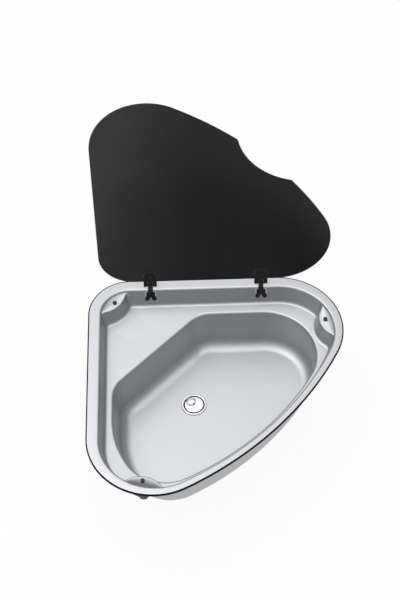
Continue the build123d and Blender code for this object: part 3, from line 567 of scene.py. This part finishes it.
def ringed_mesh(name, rings, close=False):
    """A mesh of closed rings round the drain's axis, each one a radius and a height per angle, in mm."""
    radius = np.stack([np.broadcast_to(r, AROUND.shape) for r, _ in rings])
    height = np.stack([np.broadcast_to(z, AROUND.shape) for _, z in rings])
    points = np.stack([radius * np.cos(AROUND), radius * np.sin(AROUND), height], 2) * MM
    return grid_mesh(name, points, close)


def piece(name, mesh, body, finish, slot, *stands_for):
    """The mesh as a piece with its finish, riding on its body, in place of the nodes that it stands for."""
    made = bpy.data.objects.new(name, mesh)
    bpy.context.scene.collection.objects.link(made)
    mesh.materials.clear()
    mesh.materials.append(finish)
    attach(made, body)
    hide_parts(*stands_for)
    return made


RIM = corner_plan(0, RIM_LEG, RIM_SQUARE_R, RIM_TIP_R, RIM_BOW_R)
# Its steep walls get painted shade, a darker colour by their slope.
SATIN = metal("satin_sheet", STEEL, STEEL_ROUGH, shade=0.05, grain=0.06, clouds=0.05,
              bump=0.000002, wall_shade=STEEP_WALL_PAINTED_SHADE)
pressing = piece("pressed_sheet", ringed_mesh("pressed_sheet", pressing_rings()), "sink", SATIN,
                 "brushed_sheet", "sink_pressing")
thickness = pressing.modifiers.new("sheet_thickness", "SOLIDIFY")
thickness.thickness, thickness.offset, thickness.use_even_offset = SHEET * MM, -1.0, True


# ---- Rim seal ----
# A black rubber band stuck under the rim, which the clamps press on to the worktop.
# Its outer lip comes up round the sheet's cut edge and shows as the black line round the sink.
RUBBER = (0.006, 0.006, 0.0065, 1.0)
SEAL_WIDTH, SEAL_BEAD, SEAL_GAP = 9.0, 1.2, 0.05
BEAD_STEPS = 6
MOTTLE_DETAIL, MOTTLE_SPREAD = 4.0, 0.2


def soft_finish(name, colour, roughness, scale, shade, bump, specular):
    """A dull dark finish: noise at one scale mottles the colour and roughness and raises a fine bump."""
    finish = bpy.data.materials.new(name)
    finish.use_nodes = True
    tree = finish.node_tree
    shader = tree.nodes["Principled BSDF"]
    mottle = noise(tree, scale, MOTTLE_DETAIL)
    brighter = tree.nodes.new("ShaderNodeVectorMath")
    brighter.operation = "SCALE"
    brighter.inputs[0].default_value = colour[:3]
    factor = math_node(tree, "ADD", math_node(tree, "MULTIPLY", mottle, shade), 1.0)
    tree.links.new(factor, brighter.inputs["Scale"])
    tree.links.new(brighter.outputs[0], shader.inputs["Base Color"])
    rough = math_node(tree, "ADD", math_node(tree, "MULTIPLY", mottle, MOTTLE_SPREAD), roughness)
    tree.links.new(rough, shader.inputs["Roughness"])
    shader.inputs["Specular IOR Level"].default_value = specular
    relief = tree.nodes.new("ShaderNodeBump")
    relief.inputs["Distance"].default_value = bump
    tree.links.new(mottle, relief.inputs["Height"])
    tree.links.new(relief.outputs["Normal"], shader.inputs["Normal"])
    return finish


RUBBER_FINISH = soft_finish("black_rubber", RUBBER, roughness=0.8, scale=900.0, shade=0.5,
                            bump=0.00002, specular=0.15)


def seal_rings():
    """The band's closed section carried round the rim: flat below, a rounded outer face and a low lip."""
    foot, lip_top = seal_low.z / MM, seal_high.z / MM
    shoulder = RIM_TOP - SHEET - RIM_CROWN
    turn = np.linspace(0, np.pi / 2, BEAD_STEPS)
    near, far = SEAL_BEAD * (1 - np.sin(turn)), SEAL_BEAD * (1 - np.cos(turn))
    section_in = [*near, *far, SEAL_LIP - SEAL_GAP, SEAL_LIP - SEAL_GAP, SEAL_WIDTH, SEAL_WIDTH]
    section_up = [*(foot + far), *(lip_top - near), lip_top, shoulder - SEAL_GAP, shoulder - SEAL_GAP, foot]
    return [(reach(grown(RIM, -inward)), up) for inward, up in zip(section_in, section_up)]


piece("rubber_band", ringed_mesh("rubber_band", seal_rings(), True), "sink", RUBBER_FINISH,
      "black_rubber", "rim_seal")


# ---- Waste ----
# The pressed steel cup and flange in the drain hole, over a rubber seal and held by the black plastic
# waste and nut, screwed up against a washer under the floor.
BRIGHT = metal("bright_steel", (0.80, 0.80, 0.81, 1.0), roughness=0.30, shade=0.05, grain=0.06,
               clouds=0.05, bump=0.000004)
PLASTIC = soft_finish("black_plastic", (0.022, 0.022, 0.024, 1.0), roughness=0.45, scale=1400.0,
                      shade=0.4, bump=0.00002, specular=0.5)


def painted(node, finish):
    """The node, with one finish all over."""
    node.data.materials.clear()
    node.data.materials.append(finish)
    return node


painted(nodes["strainer_cup"], BRIGHT)
for name in ("flange_seal", "waste_washer"):
    painted(nodes[name], RUBBER_FINISH)
for name in ("waste_body", "lock_nut"):
    painted(nodes[name], PLASTIC)


# ---- Plug ----
# A domed disc of polished steel over a rubber seal, dropped into the flange.
# A bent steel wire is fixed in its middle as an eye.
POLISHED = metal("polished_plug", (0.88, 0.88, 0.885, 1.0), roughness=0.30, shade=0.04, grain=0.05,
                 clouds=0.04, bump=0.000002)
WIRE = metal("steel_wire", (0.36, 0.36, 0.37, 1.0), roughness=0.25, shade=0.05, grain=0.06,
             clouds=0.05, bump=0.000004)
PLUG_R, PLUG_DOME, PLUG_EDGE_R = 18.4, 1.3, 0.5
DOME_STEPS, PLUG_EDGE_STEPS, PLUG_AROUND = 14, 6, 128


def turned_mesh(name, profile, steps):
    """A profile of radii and heights in mm, turned about the drain's axis: (r cos a, r sin a, z)."""
    angle = np.linspace(0, 2 * np.pi, steps, endpoint=False)
    radius, height = np.array(profile).T
    points = np.stack([radius[:, None] * np.cos(angle), radius[:, None] * np.sin(angle),
                       np.broadcast_to(height[:, None], (len(radius), steps))], 2) * MM
    return grid_mesh(name, points, False)


def plug_profile():
    """Down the domed face, round its edge and back under it to the axis."""
    low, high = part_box("plug_disc")
    foot, top = low.z / MM, high.z / MM
    dome_r, edge_top = PLUG_R - PLUG_EDGE_R, top - PLUG_DOME
    dome = [(dome_r * t, top - PLUG_DOME * t * t) for t in np.linspace(0, 1, DOME_STEPS)]
    turns = np.linspace(0, np.pi / 2, PLUG_EDGE_STEPS)[1:]
    edge = [(PLUG_R - PLUG_EDGE_R * (1 - math.sin(a)), edge_top - PLUG_EDGE_R * (1 - math.cos(a)))
            for a in turns]
    return dome + edge + [(PLUG_R, foot), (PLUG_R - EDGE_SHARP, foot), (0.0, foot)]


piece("plug_cover", turned_mesh("plug_cover", plug_profile(), PLUG_AROUND), "plug", POLISHED,
      "bright_steel", "plug_disc")
painted(nodes["plug_eye"], WIRE)
painted(nodes["plug_seal"], RUBBER_FINISH)


# ---- Pull ring ----
# A loose ring of the same steel wire, closed through the plug's eye.
# It lies down beside the eye, and a fingertip turns it up to lift the plug.
WIRE_R, LOOP_R, LOOP_TURN = 0.75, 8.6, math.radians(135)
LOOP_AROUND, WIRE_AROUND = 96, 20


def loop_mesh():
    """The wire ring beside the axis, one side of it in the eye.

    It is a torus: ((R + r cos b) cos a, (R + r cos b) sin a, r sin b), moved by R towards LOOP_TURN.
    """
    a = np.linspace(0, 2 * np.pi, LOOP_AROUND, endpoint=False)[:, None]
    b = np.linspace(0, 2 * np.pi, WIRE_AROUND, endpoint=False)[None, :]
    low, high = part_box("pull_ring")
    middle = (low.z + high.z) / 2 / MM
    across = LOOP_R + WIRE_R * np.cos(b)
    centre_x, centre_y = LOOP_R * math.cos(LOOP_TURN), LOOP_R * math.sin(LOOP_TURN)
    points = np.stack([centre_x + across * np.cos(a), centre_y + across * np.sin(a),
                       middle + WIRE_R * np.sin(b) + 0 * a], 2) * MM
    return grid_mesh("wire_ring", points, True)


piece("wire_ring", loop_mesh(), "pull_ring", WIRE, "bright_steel", "pull_ring")


# ---- Glass lid ----
# A sheet of toughened glass with ground edges, enamelled black, that shuts over the recess.
# It throws no shadow, and neither it nor the black fittings are mirrored in the steel, as in the photograph.
GLASS = (0.003, 0.003, 0.0033, 1.0)
# The last value is the painted sheen added to the glass's colour at its left edge.
GLASS_ROUGH, GLASS_SPECULAR, GLASS_PAINTED_SHEEN = 0.34, 0.30, 0.026
HAZE_SCALE, HAZE_DETAIL, HAZE_SPREAD = 6.0, 3.0, 0.06
NOT_MIRRORED = ("bracket_screws", "wall_plate", "clamp_cap")


def glass_finish():
    """Black enamelled glass with a faint haze, and a painted sheen that pales it from its middle to its left
    edge.
    """
    finish = bpy.data.materials.new("black_glass")
    finish.use_nodes = True
    tree = finish.node_tree
    shader = tree.nodes["Principled BSDF"]
    haze = noise(tree, HAZE_SCALE, HAZE_DETAIL)
    rough = math_node(tree, "ADD", math_node(tree, "MULTIPLY", haze, HAZE_SPREAD), GLASS_ROUGH)
    tree.links.new(rough, shader.inputs["Roughness"])
    split = tree.nodes.new("ShaderNodeSeparateXYZ")
    tree.links.new(tree.nodes.new("ShaderNodeTexCoord").outputs["Object"], split.inputs[0])
    # Painted sheen: the colour is lifted from the lid's middle towards its left edge.
    across = tree.nodes.new("ShaderNodeMapRange")
    across.interpolation_type = "SMOOTHSTEP"
    left, right = (corner.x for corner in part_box("glass_lid"))
    span = (left, (left + right) / 2, GLASS_PAINTED_SHEEN, 0.0)
    for socket, value in zip(("From Min", "From Max", "To Min", "To Max"), span):
        across.inputs[socket].default_value = value
    tree.links.new(split.outputs["X"], across.inputs["Value"])
    shade = math_node(tree, "MULTIPLY", math_node(tree, "ADD", haze, 1.0), across.outputs[0])
    colour = tree.nodes.new("ShaderNodeCombineColor")
    for channel, depth in zip(("Red", "Green", "Blue"), GLASS[:3]):
        tree.links.new(math_node(tree, "ADD", shade, depth), colour.inputs[channel])
    tree.links.new(colour.outputs[0], shader.inputs["Base Color"])
    shader.inputs["Specular IOR Level"].default_value = GLASS_SPECULAR
    return finish


painted(nodes["glass_lid"], glass_finish())
nodes["glass_lid"].visible_shadow = False
for name, node in nodes.items():
    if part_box(name)[1].z > RIM_TOP * MM or name.startswith(NOT_MIRRORED):
        node.visible_glossy = False


# ---- Hinges ----
# Powder-coated steel: a bracket screwed to the recess's wall over a bright plate, and a leaf on a steel
# pin that grips the glass against a D-shaped plate, with rubber gaskets between.
HINGES = ("left", "right")
COATED = soft_finish("black_coated_steel", (0.004, 0.004, 0.0045, 1.0), roughness=0.42, scale=2200.0,
                     shade=0.4, bump=0.00003, specular=0.3)
ZINC = metal("zinc_plate", (0.62, 0.63, 0.65, 1.0), roughness=0.28, shade=0.08, grain=0.08,
             clouds=0.1, bump=0.000004)
for side in HINGES:
    for part in ("hinge_bracket", "lid_leaf", "clamp_plate"):
        painted(nodes[f"{part}_{side}"], COATED)
    for part in ("wall_plate", "hinge_pin"):
        painted(nodes[f"{part}_{side}"], BRIGHT)
    painted(nodes[f"glass_gaskets_{side}"], RUBBER_FINISH)
    painted(nodes[f"lid_screw_{side}"], COATED)
painted(nodes["bracket_screws"], COATED)
painted(nodes["bracket_nuts"], ZINC)


# ---- Worktop clamps ----
# A long zinc-plated screw through each boss, under a black cap. A brass bush climbs it and carries a
# die-cast arm that swings out under the worktop.
CLAMPS = ("front", "right", "back")
BRASS = metal("brass", (0.60, 0.44, 0.20, 1.0), roughness=0.3, shade=0.08, grain=0.08, clouds=0.1,
              bump=0.000004)
CAST = soft_finish("dark_casting", (0.05, 0.05, 0.053, 1.0), roughness=0.5, scale=700.0, shade=0.5,
                   bump=0.00006, specular=0.5)
for place in CLAMPS:
    painted(nodes[f"clamp_screw_{place}"], ZINC)
    painted(nodes[f"clamp_cap_{place}"], PLASTIC)
    painted(nodes[f"clamp_bush_{place}"], BRASS)
    painted(nodes[f"clamp_arm_{place}"], CAST)
